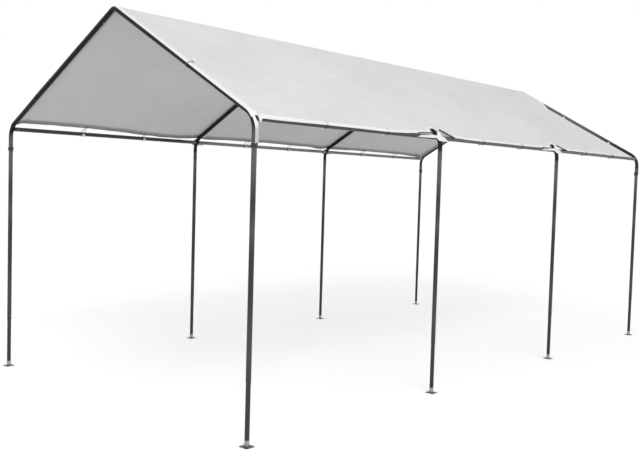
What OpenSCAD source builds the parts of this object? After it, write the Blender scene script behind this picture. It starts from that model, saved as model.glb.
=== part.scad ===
// Free-standing canopy shelter: four gable frames of round steel tube on eight
// legs, tied by eave and ridge rails, under one fabric cover. Open on all sides.
// X is across the shelter, Y along it, Z up. The origin is on the floor, at the
// middle of the plan. Right is +X, and the front gable faces -Y.

/* [Frame] */
// Width between the centre lines of the legs
frame_w = 3050; // [2400:10:3900]
// Length between the centre lines of the front and rear frames
frame_l = 6100; // [4500:10:8000]
// Height where the centre lines of a leg and a rafter would meet
eave_h = 2070; // [1800:10:2500]
// Height where the centre lines of two rafters would meet
ridge_h = 2910; // [2650:10:3300]

/* [Tube] */
// Outer diameter of the legs, rafters and rails
tube_d = 35; // [30:0.5:42]
// Wall of all the tube
tube_wall = 1.2; // [1:0.1:2]
// Gap all round where one tube slides into another
fit_gap = 0.3; // [0.2:0.05:0.6]
// How far a fitting's spigot goes into a tube
spigot_l = 60; // [40:5:90]
// Gap between the end of a rail and the side of a fitting
rail_end_gap = 1; // [0.5:0.5:3]

/* [Eave fittings] */
// Centre line radius of the bend at the eave
eave_bend_r = 140; // [120:5:220]
// From the corner of the centre lines down to the top of the leg
leg_arm = 190; // [180:5:300]
// From the corner of the centre lines up to the end of the rafter
rafter_arm = 320; // [200:5:450]

/* [Ridge fittings] */
// Centre line radius of the bend at the ridge
ridge_bend_r = 60; // [40:5:120]
// From the corner of the centre lines down to the end of the rafter
ridge_arm = 140; // [110:5:250]

/* [Legs and feet] */
// Height of the joint between the upper and the lower leg
leg_joint_h = 410; // [300:10:600]
// How far the lower leg goes up inside the upper leg
leg_overlap = 150; // [80:10:250]
// Height of the foot's neck above its plate
neck_h = 40; // [20:5:80]
// Side of the square foot plate
plate_w = 76; // [70:1:120]
// Thickness of the foot plate
plate_t = 3; // [2:0.5:6]
// Radius of the foot plate's corners
plate_corner_r = 10; // [2:1:12]
// Diameter of the two peg holes in a foot plate
peg_hole_d = 9; // [5:0.5:10]
// Distance between the two peg holes
peg_spacing = 54; // [50:1:56]

/* [Cover] */
// Thickness of the cover
cover_t = 2.5; // [1:0.5:4]
// Gap between the cover and the tubes under it
cover_gap = 0.3; // [0.3:0.1:2]
// Width of the hem that is turned down over the end rafters
hem_w = 20; // [10:1:30]
// Height of the cover's lower edge above the eave rail's centre line
cover_edge_rise = 6; // [0:1:20]

/* [Cover ties] */
// Diameter of a tie's ball
tie_ball_d = 30; // [20:1:40]
// Diameter of a tie's elastic cord
tie_cord_d = 4; // [3:0.5:6]
// Ties in each bay, on each side
ties_per_bay = 2; // [1:1:4]

/* [Hidden] */
$fn = 96;
frame_names = ["front", "second", "third", "rear"];
bay_names = ["front", "middle", "rear"];
frame_count = len(frame_names);
bay_count = len(bay_names);
bay_l = frame_l / bay_count;

// the roof's slope, and how far each fitting bends
slope = atan2(ridge_h - eave_h, frame_w / 2);
rafter_len = norm([frame_w / 2, ridge_h - eave_h]);
eave_turn = 90 - slope;
ridge_turn = 2 * slope;
eave_tangent = eave_bend_r * tan(eave_turn / 2);
ridge_tangent = ridge_bend_r * tan(ridge_turn / 2);

// the spigots fit the tubes, and the neck's spigot fits the lower leg
bore_d = tube_d - 2 * tube_wall;
spigot_d = bore_d - 2 * fit_gap;
spigot_bore_d = spigot_d - 2 * tube_wall;
neck_spigot_d = spigot_bore_d - 2 * fit_gap;
neck_bore_d = neck_spigot_d - 2 * tube_wall;
// a fitting's arms are pressed a little wider than its bend, and end in a step
arm_swell = 0.4;
arm_lap = 2;
arm_end_wall = 3;
leg_top_h = eave_h - leg_arm;
leg_foot_h = plate_t + neck_h;

// centre of the eave bend, and of the rail that meets it half way round
eave_bend_x = frame_w / 2 - eave_bend_r;
eave_bend_z = eave_h - eave_tangent;
eave_rail_x = eave_bend_x + eave_bend_r * cos(eave_turn / 2);
eave_rail_z = eave_bend_z + eave_bend_r * sin(eave_turn / 2);
ridge_bend_z = ridge_h - ridge_bend_r / cos(slope);
ridge_rail_z = ridge_bend_z + ridge_bend_r;

// the cover lies on the frame, a gap above the tubes
cover_in = (tube_d + arm_swell) / 2 + cover_gap;
cover_end_y = frame_l / 2 + cover_in;
skin_end_y = cover_end_y + cover_t;
edge_angle = asin((eave_rail_z + cover_edge_rise - eave_bend_z) / (eave_bend_r + cover_in));
arc_steps = 12;

// a tie's cord goes under the rail from above the ball to the cover's edge
tie_ring_r = tube_d / 2 + fit_gap + tie_cord_d / 2;
tie_ball_at = tube_d / 2 + 2 * fit_gap + tie_ball_d / 2;
tie_ball_angle = 200;
tie_start_angle = 78;
tie_end_angle = 360;

function frame_y(i) = -frame_l / 2 + i * bay_l;

// Everything is drawn for the right side, and mirrored for the left.
module on_side(side) {
    if (side == "right") children();
    else mirror([1, 0, 0]) children();
}

module tube(d, bore, h) {
    difference() {
        cylinder(d = d, h = h);
        translate([0, 0, -1]) cylinder(d = bore, h = h + 2);
    }
}

// Places its children at a bend's lower or upper end, with Z out of the bend.
module at_low_end(r) {
    translate([r, 0, 0]) rotate([180, 0, 0]) children();
}

module at_high_end(r, turn) {
    rotate([0, -turn, 0]) translate([r, 0, 0]) children();
}

// A straight arm, lapped over the end of the bend, and the spigot on its end.
module arm(body, arm_l, end_wall, spigot, reach) {
    translate([0, 0, -arm_lap]) cylinder(d = body + arm_swell, h = arm_l + arm_lap - end_wall);
    translate([0, 0, arm_l / 2]) cylinder(d = spigot, h = arm_l / 2 + reach);
}

// A bent fitting's outside or its bore. The origin is the centre of its bend,
// and the rails' spigots leave the bend half way round.
module fitting_shape(i, r, turn, low_l, high_l, body, end_wall, spigot, reach) {
    rotate([90, 0, 0]) rotate_extrude(angle = turn) translate([r, 0]) circle(d = body);
    at_low_end(r) arm(body, low_l, end_wall, spigot, reach);
    at_high_end(r, turn) arm(body, high_l, end_wall, spigot, reach);
    rail_reach = tube_d / 2 + rail_end_gap + reach;
    at_high_end(r, turn / 2) {
        if (i > 0) rotate([90, 0, 0]) cylinder(d = spigot, h = rail_reach);
        if (i < frame_count - 1) rotate([-90, 0, 0]) cylinder(d = spigot, h = rail_reach);
    }
}

module fitting(i, r, turn, low_l, high_l) {
    difference() {
        fitting_shape(i, r, turn, low_l, high_l, tube_d, 0, spigot_d, spigot_l);
        fitting_shape(i, r, turn, low_l, high_l, bore_d, arm_end_wall, spigot_bore_d, spigot_l + 1);
    }
}

module elbow(side, i) {
    color("dimgray") on_side(side) translate([eave_bend_x, frame_y(i), eave_bend_z])
        fitting(i, eave_bend_r, eave_turn, leg_arm - eave_tangent, rafter_arm - eave_tangent);
}

module leg(side, i) {
    color("gray") on_side(side) translate([frame_w / 2, frame_y(i), leg_joint_h])
        tube(tube_d, bore_d, leg_top_h - leg_joint_h);
}

module lower_leg(side, i) {
    color("darkgray") on_side(side) translate([frame_w / 2, frame_y(i), leg_foot_h])
        tube(spigot_d, spigot_bore_d, leg_joint_h + leg_overlap - leg_foot_h);
}

module foot() {
    difference() {
        union() {
            linear_extrude(plate_t) plate_outline();
            cylinder(d = spigot_d, h = leg_foot_h);
            cylinder(d = neck_spigot_d, h = leg_foot_h + spigot_l);
        }
        translate([0, 0, plate_t]) cylinder(d = neck_bore_d, h = neck_h + spigot_l + 1);
        for (s = [-1, 1]) translate([0, s * peg_spacing / 2, -1])
            cylinder(d = peg_hole_d, h = plate_t + 2);
    }
}

module plate_outline() {
    side = plate_w - 2 * plate_corner_r;
    square([plate_w, side], center = true);
    square([side, plate_w], center = true);
    for (x = [-1, 1]) for (y = [-1, 1]) translate([x * side / 2, y * side / 2])
        circle(r = plate_corner_r);
}

module feet(side) {
    color("silver") on_side(side)
        for (i = [0 : frame_count - 1]) translate([frame_w / 2, frame_y(i), 0]) foot();
}

module rafter(side, i) {
    color("dimgray") on_side(side) translate([frame_w / 2, frame_y(i), eave_h])
        rotate([0, -eave_turn, 0]) translate([0, 0, rafter_arm])
            tube(tube_d, bore_d, rafter_len - rafter_arm - ridge_arm);
}

module ridge_fittings() {
    straight_l = ridge_arm - ridge_tangent;
    color("dimgray")
        for (i = [0 : frame_count - 1]) translate([0, frame_y(i), ridge_bend_z])
            rotate([0, -eave_turn, 0]) fitting(i, ridge_bend_r, ridge_turn, straight_l, straight_l);
}

// A rail of one bay, between the fittings at its ends.
module rail(bay) {
    end = tube_d / 2 + rail_end_gap;
    translate([0, frame_y(bay) + end, 0]) rotate([-90, 0, 0])
        tube(tube_d, bore_d, bay_l - 2 * end);
}

module ridge_rails() {
    color("dimgray")
        for (bay = [0 : bay_count - 1]) translate([0, 0, ridge_rail_z]) rail(bay);
}

module eave_rail(side, bay) {
    color("dimgray") on_side(side) translate([eave_rail_x, 0, eave_rail_z]) rail(bay);
}

// Points round an arc of the cover's section, from one angle to another.
function arc_points(x, z, r, from, to) = [
    for (k = [0 : arc_steps]) let (a = from + (to - from) * k / arc_steps)
        [x + r * cos(a), z + r * sin(a)]
];

// The section from eave to eave, at a distance outside the tubes' centre lines.
function section_line(out) = concat(
    arc_points(eave_bend_x, eave_bend_z, eave_bend_r + out, edge_angle, eave_turn),
    arc_points(0, ridge_bend_z, ridge_bend_r + out, eave_turn, 180 - eave_turn),
    arc_points(-eave_bend_x, eave_bend_z, eave_bend_r + out, 180 - eave_turn, 180 - edge_angle)
);

// A slice of the roof between two such distances, from y towards the front.
module roof_slice(inner, outer, y, depth) {
    back = section_line(inner);
    translate([0, y, 0]) rotate([90, 0, 0]) linear_extrude(depth)
        polygon(concat(section_line(outer), [for (k = [len(back) - 1 : -1 : 0]) back[k]]));
}

module cover() {
    color("gainsboro") roof_slice(cover_in, cover_in + cover_t, skin_end_y, 2 * skin_end_y);
}

// The edge that is turned down in front of the front rafters and behind the rear.
module cover_hems() {
    hem_in = cover_in + cover_t - hem_w;
    color("gainsboro")
        for (y = [-cover_end_y, skin_end_y]) roof_slice(hem_in, cover_in, y, cover_t);
}

// A ball on the rail's inner side, on a cord that goes round the rail to the cover's edge.
module tie() {
    rotate([90, 0, 0]) {
        rotate([0, 0, tie_start_angle])
            rotate_extrude(angle = tie_end_angle - tie_start_angle)
                translate([tie_ring_r, 0]) circle(d = tie_cord_d, $fn = 24);
        rotate([0, 0, tie_ball_angle]) translate([tie_ball_at, 0, 0])
            sphere(d = tie_ball_d, $fn = 32);
    }
}

module cover_ties() {
    color("white")
        for (side = ["right", "left"]) on_side(side)
            for (bay = [0 : bay_count - 1]) for (k = [1 : ties_per_bay])
                translate([eave_rail_x, frame_y(bay) + k * bay_l / (ties_per_bay + 1), eave_rail_z])
                    tie();
}

for (side = ["right", "left"]) for (i = [0 : frame_count - 1]) {
    name = str(side, "_", frame_names[i]);
    leg(side, i);
    lower_leg(side, i);
    elbow(side, i);
    rafter(side, i);
}
for (side = ["right", "left"]) for (bay = [0 : bay_count - 1])
    eave_rail(side, bay);
feet("right");  // right_feet
feet("left");  // left_feet
ridge_fittings();
ridge_rails();
cover();
cover_hems();
cover_ties();
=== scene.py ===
import math

import bpy
from mathutils import Matrix, Vector, noise


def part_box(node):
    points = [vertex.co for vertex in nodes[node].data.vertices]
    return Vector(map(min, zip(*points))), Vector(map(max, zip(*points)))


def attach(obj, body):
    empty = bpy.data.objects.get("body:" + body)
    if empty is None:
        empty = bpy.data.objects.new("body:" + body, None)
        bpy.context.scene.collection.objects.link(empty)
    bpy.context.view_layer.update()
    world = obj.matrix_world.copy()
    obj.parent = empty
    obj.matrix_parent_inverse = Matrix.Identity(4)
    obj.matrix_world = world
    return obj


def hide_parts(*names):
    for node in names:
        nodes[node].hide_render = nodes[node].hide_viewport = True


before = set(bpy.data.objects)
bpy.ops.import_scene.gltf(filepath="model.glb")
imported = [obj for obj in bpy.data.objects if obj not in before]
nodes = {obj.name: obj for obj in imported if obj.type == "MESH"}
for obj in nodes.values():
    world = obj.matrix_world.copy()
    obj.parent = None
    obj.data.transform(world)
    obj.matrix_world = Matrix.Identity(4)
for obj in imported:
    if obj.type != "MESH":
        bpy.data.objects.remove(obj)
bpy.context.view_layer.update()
print("frame loaded,", len(nodes), "nodes")

# camera
camera = {
    "place": (5.26, -6.57, 1.66),
    "azimuth": 42.0,
    "pitch": -3.02,
    "roll": 1.66,
    "lens": 46.5,
    "sensor": 36,
    "farthest": 200,
}


def linked(name, data):
    # a new object in the scene
    o = bpy.data.objects.new(name, data)
    bpy.context.scene.collection.objects.link(o)
    return o


def makeCamera(c):
    azimuth, pitch, roll = (math.radians(c[k]) for k in ("azimuth", "pitch", "roll"))
    ahead = Vector((-math.sin(azimuth) * math.cos(pitch), math.cos(azimuth) * math.cos(pitch),
                    math.sin(pitch)))
    level = Vector((math.cos(azimuth), math.sin(azimuth), 0))
    over = level.cross(ahead)
    right = level * math.cos(roll) + over * math.sin(roll)
    up = over * math.cos(roll) - level * math.sin(roll)
    data = bpy.data.cameras.new("camera")
    data.lens = c["lens"]
    data.sensor_width = c["sensor"]
    data.clip_end = c["farthest"]
    o = linked("camera", data)
    turned = Matrix((right, up, -ahead)).transposed().to_4x4()
    o.matrix_world = Matrix.Translation(c["place"]) @ turned
    bpy.context.scene.camera = o


makeCamera(camera)

# sizes, all from the frame's boxes
frameNames = ("front", "second", "third", "rear")
sides = {"right": 1, "left": -1}


def middle(node):
    low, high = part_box(node)
    return (Vector(low) + Vector(high)) / 2


legLow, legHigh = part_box("right_front_leg")
tubeR = (legHigh[0] - legLow[0]) / 2
halfW = middle("right_front_leg").x
legTop, legJoint = legHigh[2], legLow[2]
frameY = [middle(f"right_{f}_leg").y for f in frameNames]
bayL = frameY[1] - frameY[0]
rail = middle("right_middle_eave_rail")
railX, railZ = rail.x, rail.z
ridgeZ = middle("ridge_rails").z

# the roof's slope, from the box round one rafter
rafterLow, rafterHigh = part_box("right_front_rafter")
wide, high = rafterHigh[0] - rafterLow[0], rafterHigh[2] - rafterLow[2]
slope = math.atan2(high, wide)
for _ in range(20):
    slope = math.atan2(high - 2 * tubeR * math.cos(slope), wide - 2 * tubeR * math.sin(slope))
eaveTurn = math.pi / 2 - slope
bendR = (halfW - railX) / (1 - math.cos(eaveTurn / 2))
bendX = halfW - bendR
bendZ = railZ - bendR * math.sin(eaveTurn / 2)
eaveZ = bendZ + bendR * math.tan(eaveTurn / 2)
topZ = eaveZ + halfW * math.tan(slope)
ridgeR = (topZ - ridgeZ) / (1 / math.cos(slope) - 1)
ridgeBendZ = ridgeZ - ridgeR
rafterL = math.hypot(halfW, topZ - eaveZ)
straightL = rafterL - ridgeR * math.tan(slope) - bendR * math.tan(eaveTurn / 2)
railSlope = math.atan2(ridgeZ - railZ, railX)
railSpan = math.hypot(railX, ridgeZ - railZ)
print(f"slope {math.degrees(slope):.2f}, eave bend {bendR:.4f}, ridge bend {ridgeR:.4f}")


def ease(x):
    x = min(1.0, max(0.0, x))
    return x * x * (3 - 2 * x)


def mix(a, b, t):
    return a + (b - a) * t


def along(table, y):
    # a smooth value between the rows of a (y, value) table
    if y <= table[0][0]:
        return table[0][1]
    for (y0, v0), (y1, v1) in zip(table, table[1:]):
        if y <= y1:
            return mix(v0, v1, ease((y - y0) / (y1 - y0)))
    return table[-1][1]


def outward(a, sign=1):
    # the way that a surface at the angle a faces, on the right or on the left
    return Vector((sign * math.cos(a), 0, math.sin(a)))


def bentPath(s, out, turn, topR, topZ, straight, lowR, lowX, lowZ, last=-math.inf):
    # down the roof from the ridge: a bend, a straight part and a bend down to the last angle;
    # gives x, z and the angle of the normal
    r, level = topR + out, math.pi / 2 - turn
    if s < r * turn:
        a = math.pi / 2 - s / r
        return r * math.cos(a), topZ + r * math.sin(a), a
    s -= r * turn
    if s < straight:
        x = r * math.cos(level) + s * math.cos(turn)
        return x, topZ + r * math.sin(level) - s * math.sin(turn), level
    r = lowR + out
    a = max(level - (s - straight) / r, last)
    return lowX + r * math.cos(a), lowZ + r * math.sin(a), a


def framePath(s, out):
    # over a frame: the ridge bend, the rafter, the eave bend and down the leg
    x, z, a = bentPath(s, out, slope, ridgeR, ridgeBendZ, straightL, bendR, bendX, bendZ)
    if a > 0:
        return x, z, a
    return bendX + bendR + out, bendZ + a * (bendR + out), 0.0


def bayPath(s, out):
    # between the frames: straight from the ridge rail to the eave rail, and round it
    return bentPath(s, out, railSlope, 0, ridgeZ, railSpan, 0, railX, railZ, last=-1.2)


# meshes and objects
smoothAngle = math.radians(40)


def smoothed(mesh):
    mesh.shade_smooth()
    mesh.set_sharp_from_angle(angle=smoothAngle)


def steps(start, stop, count):
    # evenly spaced values, with both ends
    return [start + (stop - start) * k / count for k in range(count + 1)]


def ring(place, side, up, radius, count):
    # points round a place
    turns = [2 * math.pi * k / count for k in range(count)]
    return [place + (side * math.cos(a) + up * math.sin(a)) * radius for a in turns]


def newPiece(name, verts, faces, uv=None):
    mesh = bpy.data.meshes.new(name)
    mesh.from_pydata(verts, [], faces)
    if uv:
        layer = mesh.uv_layers.new(name="UVMap")
        for loop in mesh.loops:
            layer.data[loop.index].uv = uv[loop.vertex_index]
    smoothed(mesh)
    mesh.validate()
    return linked(name, mesh)


def gridFaces(rows, columns, order=(0, 1, 2, 3)):
    # the faces between points that are listed row by row
    faces = []
    for k in range(rows - 1):
        for m in range(columns - 1):
            a = k * columns + m
            corners = a, a + 1, a + columns + 1, a + columns
            faces.append(tuple(corners[i] for i in order))
    return faces


def sweep(points, radius, count=8):
    # a round cord along points, with closed ends, and a UV that runs along and around it
    last = len(points) - 1
    tangents = [(points[min(i + 1, last)] - points[max(i - 1, 0)]).normalized() for i in range(last + 1)]
    side = tangents[0].orthogonal().normalized()
    verts, uvs, run = [], [], 0.0
    for i, p in enumerate(points):
        if i:
            side = (side - tangents[i] * side.dot(tangents[i])).normalized()
            run += (p - points[i - 1]).length
        verts += ring(p, side, tangents[i].cross(side), radius, count)
        uvs += [(run, k / count) for k in range(count)]
    faces = []
    for start in range(0, last * count, count):
        for k in range(count):
            a, b = start + k, start + (k + 1) % count
            faces.append((a, b, b + count, a + count))
    faces.append(tuple(reversed(range(count))))
    faces.append(tuple(range(last * count, (last + 1) * count)))
    return verts, faces, uvs


def rounded(points, steps):
    # a smooth line through points
    last, out = len(points) - 1, []
    for i in range(last):
        a, b, c, d = points[max(i - 1, 0)], points[i], points[i + 1], points[min(i + 2, last)]
        for k in range(steps):
            t = k / steps
            out.append(0.5 * (2 * b + (c - a) * t + (2 * a - 5 * b + 4 * c - d) * t * t
                              + (3 * b - a - 3 * c + d) * t * t * t))
    return out + [points[-1]]


def joined(name, parts):
    # one piece made of several (verts, faces, uvs)
    verts, faces, uvs = [], [], []
    for v, f, u in parts:
        faces += [tuple(len(verts) + i for i in face) for face in f]
        verts += v
        uvs += u
    return newPiece(name, verts, faces, uvs)


def lathe(profile, place, axis, count):
    # spins (radius, height) pairs about an axis; the first and last radius are 0
    axis = axis.normalized()
    side = axis.orthogonal().normalized()
    verts, uvs, faces = [place + axis * profile[0][1]], [(0, 0)], []
    for r, h in profile[1:-1]:
        verts += ring(place + axis * h, side, axis.cross(side), r, count)
        uvs += [(k / count, h) for k in range(count)]
    verts.append(place + axis * profile[-1][1])
    uvs.append((0, 1))
    last, lastRing = len(verts) - 1, len(verts) - 1 - count
    for k in range(count):
        k2 = (k + 1) % count
        faces.append((0, 1 + k2, 1 + k))
        for a in range(1, lastRing, count):
            faces.append((a + k, a + k2, a + count + k2, a + count + k))
        faces.append((last, lastRing + k, lastRing + k2))
    return verts, faces, uvs


def plainMesh(o, name):
    # the evaluated object as a plain mesh, in a new object
    shown = o.evaluated_get(bpy.context.evaluated_depsgraph_get())
    mesh = bpy.data.meshes.new_from_object(shown)
    old = o.data
    bpy.data.objects.remove(o)
    bpy.data.meshes.remove(old)
    mesh.name = name
    smoothed(mesh)
    return linked(name, mesh)


def pointValues(o, name, values):
    # a number for each point, which a finish reads
    layer = o.data.attributes.new(name, "FLOAT", "POINT")
    layer.data.foreach_set("value", values)


def thicken(o, thickness, offset, **settings):
    change = o.modifiers.new("thickness", "SOLIDIFY")
    change.thickness = thickness
    change.offset = offset
    for key, value in settings.items():
        setattr(change, key, value)
    return plainMesh(o, o.name)


# cover: one sheet over the whole roof, wrapped round the front rafters
cover = {
    "stand": 0.0017,  # the sheet's middle above the tubes
    "thickness": 0.0011,
    "hemThickness": 0.0022,
    "hemWidth": 0.038,
    "spacing": 0.031,
    "edgeRows": (0.0, 0.004, 0.009, 0.015, 0.022, 0.030, 0.038, 0.0395, 0.048),
    "ridgeRows": (0.0, 0.004, 0.008, 0.013, 0.020, 0.030, 0.042),
    "frontRows": 8,
    "rowSteps": ((0.09, 0.005), (0.17, 0.011), (9, 0.027)),  # within this of a frame, this close
    "tent": 0.45,  # how far from a frame the sheet leans on it
    "sag": 0.014,
    "tautFrame": 0.15,  # it sags less than this far from a frame
    "tautEdge": (0.02, 0.10),  # and from the lower edge, and from the ridge
    "tautRidge": 0.12,
    "unevenness": 0.003,
    "ridgeWaves": 0.004,
    "flutter": 0.004,
    "flutterReach": 0.035,
    "wrinkle": 0.0024,
    "wrinkleReach": 0.24,
    "rearDrop": 0.027,  # where it ends before the rear rafters
    "rearTuck": 0.13,  # over this length
    "rearEase": 0.45,  # its rows close up over this length to meet the rear edge
    "gloom": 0.045,  # the shade above the hem's underside fades out over this width
}
stand = tubeR + cover["stand"]

# the lower edge's height above the rail's middle in mm, against the place along
# the shelter in bays from the front frame: low between the ties, lifted at the elbows
edgeHeight = {
    "right": ((0, 10), (0.006, 17), (0.013, 17), (0.017, -22), (0.024, -22), (0.030, -1),
              (0.12, -1), (0.33, 3), (0.67, 2), (0.77, 7), (0.84, 16), (0.93, 29), (0.955, 34),
              (0.966, 62), (1, 72), (1.016, 69), (1.042, 50), (1.072, 22), (1.092, 10), (1.2, 6),
              (1.67, 8), (1.90, 12), (1.95, 24), (1.964, 50), (2, 57), (2.016, 54), (2.045, 32),
              (2.07, 15), (2.09, 10), (2.18, 9), (2.97, 12), (3, 18)),
    "left": ((0, 34), (0.05, 54), (0.33, 54), (0.52, 44), (0.67, 33), (0.79, 26), (0.88, 28),
             (0.93, 34), (1, 44), (1.08, 38), (1.2, 44), (1.5, 48), (1.8, 42), (1.94, 30),
             (2, 44), (2.06, 36), (2.3, 42), (2.7, 38), (2.93, 26), (3, 18)),
}
tiePlaces = [bay + part / 3 for bay in range(3) for part in (1, 2)]
# where folds run out: the place in bays, how far up from the edge, their number and their size
fans = [(place, 0.03, 10, 1.0) for place in tiePlaces] + [(0, 0, 13, 2.4)]
fans += [(place, 0, 13, 1.2) for place in (1, 2, 3)]
frontTurn = ((0.0, 35), (1.0, 68))  # degrees round the front rafter, ridge to eave
rearReach = ((0.0, 0.012), (0.10, 0.012), (0.30, -0.050), (1.0, -0.060))  # past the rear frame


def yAt(place):
    return frameY[0] + place * bayL


def nearFrame(y):
    return min(abs(y - f) for f in frameY)


def sheetPath(s, y, out=stand):
    # the sheet before any sag or wrinkle: the bay's path, leaning on the nearest frame
    lean = max(0.0, 1 - nearFrame(y) / cover["tent"]) ** 1.5
    return [mix(b, f, lean) for b, f in zip(bayPath(s, out), framePath(s, out))]


edgeFound = {}


def edgeAt(side, y):
    # how far down the roof the sheet's lower edge is
    key = side, round(y, 5)
    if key not in edgeFound:
        target = railZ + along(edgeHeight[side], (y - frameY[0]) / bayL) / 1000
        low, high = 0.85 * railSpan, 1.2 * railSpan
        for _ in range(30):
            s = (low + high) / 2
            if sheetPath(s, y)[1] > target:
                low = s
            else:
                high = s
        edgeFound[key] = low
    return edgeFound[key]


def rearEdge(s):
    return frameY[3] + along(rearReach, s / railSpan)


def wrinkles(side, e, y):
    # folds that run out from the ties and the elbows
    total, reach = 0.0, cover["wrinkleReach"]
    for k, (place, inset, lobes, size) in enumerate(fans):
        dy, de = y - yAt(place), e - inset
        d = math.hypot(dy, de)
        if d > 4 * reach:
            continue
        fade = math.exp(-d / reach) * (1 - math.exp(-d / 0.03))
        drift = 2.2 * noise.noise(Vector((d * 5, k * 3.1, sides[side] * 7)))
        total += size * fade * math.cos(lobes * math.atan2(dy, de + 0.02) + k * 2.3 + drift)
    return total * cover["wrinkle"]


def rise(side, s, y):
    # how far the sheet stands out from its plain path
    edge = edgeAt(side, y)
    e, seed = edge - s, 11 * sides[side]
    part = ((y - frameY[0]) / bayL) % 1.0
    out = -cover["sag"] * 4 * part * (1 - part) * math.sin(math.pi * min(1, max(0, s / edge)))
    out += cover["unevenness"] * noise.noise(Vector((s / 0.5, y / 0.9, seed)))
    out += wrinkles(side, e, y)
    if out < 0:
        fromEdge, over = cover["tautEdge"]
        out *= ease(nearFrame(y) / cover["tautFrame"]) * ease((e - fromEdge) / over)
        out *= ease(s / cover["tautRidge"])
    wave = max(0, noise.noise(Vector((3, y / 0.35, 0))))
    out += cover["ridgeWaves"] * wave * math.exp(-s / cover["tautRidge"])
    loose = 0.5 - 0.5 * math.cos(6 * math.pi * part)
    wave = max(0, 0.5 + noise.noise(Vector((5, y / 0.11, seed))))
    out += cover["flutter"] * math.exp(-e / cover["flutterReach"]) * loose * wave
    # past the last frame's front face the sheet drops below the rear rafter's middle
    reach = rearEdge(s)
    clear = frameY[3] - tubeR - 0.004 - reach
    tuck = y - reach + cover["rearTuck"]
    if clear > 0 and tuck > 0:
        out -= cover["rearDrop"] * ease(clear / 0.03) * ease(tuck / 0.12)
    return out


def coverAt(side, s, y):
    # a point of the sheet's middle, and the way it faces; past the front frame, y is
    # measured round the rafter
    yFrame = max(y, frameY[0])
    x, z, a = sheetPath(s, yFrame)
    turn = max(0.0, (frameY[0] - y) / stand)
    r = stand + rise(side, s, yFrame)
    p = Vector((x, yFrame, z)) + outward(a) * (r * math.cos(turn) - stand)
    p.y -= r * math.sin(turn)
    facing = outward(a) * math.cos(turn) - Vector((0, math.sin(turn), 0))
    p.x *= sides[side]
    facing.x *= sides[side]
    return p, facing


def frontEdge(s):
    return frameY[0] - stand * math.radians(along(frontTurn, s / railSpan))


def coverRows():
    # places along the shelter, close together at the frames
    rows, y = [], frameY[0]
    while y < frameY[3] + 0.004:
        rows.append(y)
        d = nearFrame(y + 0.001)
        y += next(step for reach, step in cover["rowSteps"] if d < reach)
    rows[-1] = frameY[3]
    return rows


def rowPlaces(yEdge):
    # the columns of one row: the side, the distance down the roof and that from the edge
    line, inner = [], list(cover["ridgeRows"])
    count = round(railSpan / cover["spacing"])
    for side in ("left", "right"):
        edge = edgeAt(side, yEdge)
        columns = inner + steps(inner[-1], edge - cover["edgeRows"][-1], count)[1:-1]
        columns += [edge - e for e in reversed(cover["edgeRows"])]
        if side == "left":
            columns = columns[:0:-1]
        line += [(side, s, edge - s) for s in columns]
    return line


def makeCover():
    rows, late = [None] * cover["frontRows"] + coverRows(), frameY[3] - cover["rearEase"]
    verts, uvs, hem, gloom = [], [], [], []
    for i, row in enumerate(rows):
        for side, s, e in rowPlaces(frameY[0] if row is None else row):
            front, rear = frontEdge(s), rearEdge(s)
            if row is None:
                y = front + (frameY[0] - front) * i / cover["frontRows"]
            else:
                y = row if row < late else late + (row - late) * (rear - late) / (frameY[3] - late)
            verts.append(coverAt(side, s, y)[0])
            uvs.append((sides[side] * s, y))
            far = min(e, y - front, rear - y) - cover["hemWidth"]
            hem.append(1 - ease(far / 0.002))
            gloom.append(1 - ease(far / cover["gloom"]))
    sheet = newPiece("cover_sheet", verts, gridFaces(len(rows), len(verts) // len(rows)), uvs)
    group = sheet.vertex_groups.new(name="hem")
    for i, h in enumerate(hem):
        group.add([i], h, "REPLACE")
    made = thicken(sheet, cover["hemThickness"], 0, vertex_group="hem",
                   thickness_vertex_group=cover["thickness"] / cover["hemThickness"])
    points, count = made.data.vertices, len(hem)
    upperFirst = points[count // 2].co.z > points[count // 2 + count].co.z
    under = [0.0] * count + [1.0] * count if upperFirst else [1.0] * count + [0.0] * count
    # painted shade on the under layer by the hems, painted highlight on the upper layer's hems
    pointValues(made, "paintedHemShade", [v * u for v, u in zip(gloom * 2, under)])
    pointValues(made, "paintedHemHighlight", [v * (1 - u) for v, u in zip(hem * 2, under)])
    return made


def polar(centre, out, up, angle, r, shift=Vector()):
    # a point round a tube: the angle is in degrees, from "out" towards "up"
    a = math.radians(angle)
    return centre + out * (r * math.cos(a)) + up * (r * math.sin(a)) + shift


# tabs of the same fabric: they come from under the sheet at each elbow
tab = {
    "under": 0.07,  # how far a tab runs up under the sheet
    "end": 0.160,  # below the rail, at a corner
    "thickness": 0.0005,
    "stand": 0.0003,
    "steps": 34,
    "round": 14,
    # at the top and at the end, from the outward side; at the rear the legs stay bare in front
    "angles": ((-62, 76, -27, 66), (-80, 5, -70, -12)),
    "flare": (0.007, 0.001),  # how far the loose edge stands off
    "bulge": 0.0012,
    "crumple": 0.0007,
    "width": 0.04,
    "looseOver": 0.05,  # it comes loose over this length, below the sheet's edge
    "grime": 0.30,  # how much darker its lower end is: painted shade
}
flap = {
    "neck": 0.018,
    "slant": 0.75,  # how far the neck leans to the rear on its way up
    # both edges, down the roof from the rail's middle, against the place along the rails
    "top": ((-0.31, 0.002), (-0.25, -0.012), (-0.08, -0.021), (-0.045, -0.020), (0.0, -0.036),
            (0.03, -0.026), (0.06, -0.006), (0.09, 0.012), (0.115, 0.024)),
    "low": ((-0.31, 0.004), (-0.25, 0.006), (-0.06, 0.005), (-0.028, 0.029), (0.03, 0.031),
            (0.06, 0.034), (0.09, 0.031), (0.115, 0.026)),
    "columns": 85,
    "rows": 22,
    "neckEase": 0.013,
    "ripple": 0.0012,
    "rippleSize": 0.05,
    "droop": 0.003,  # how far the lower edge stands off
}


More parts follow.
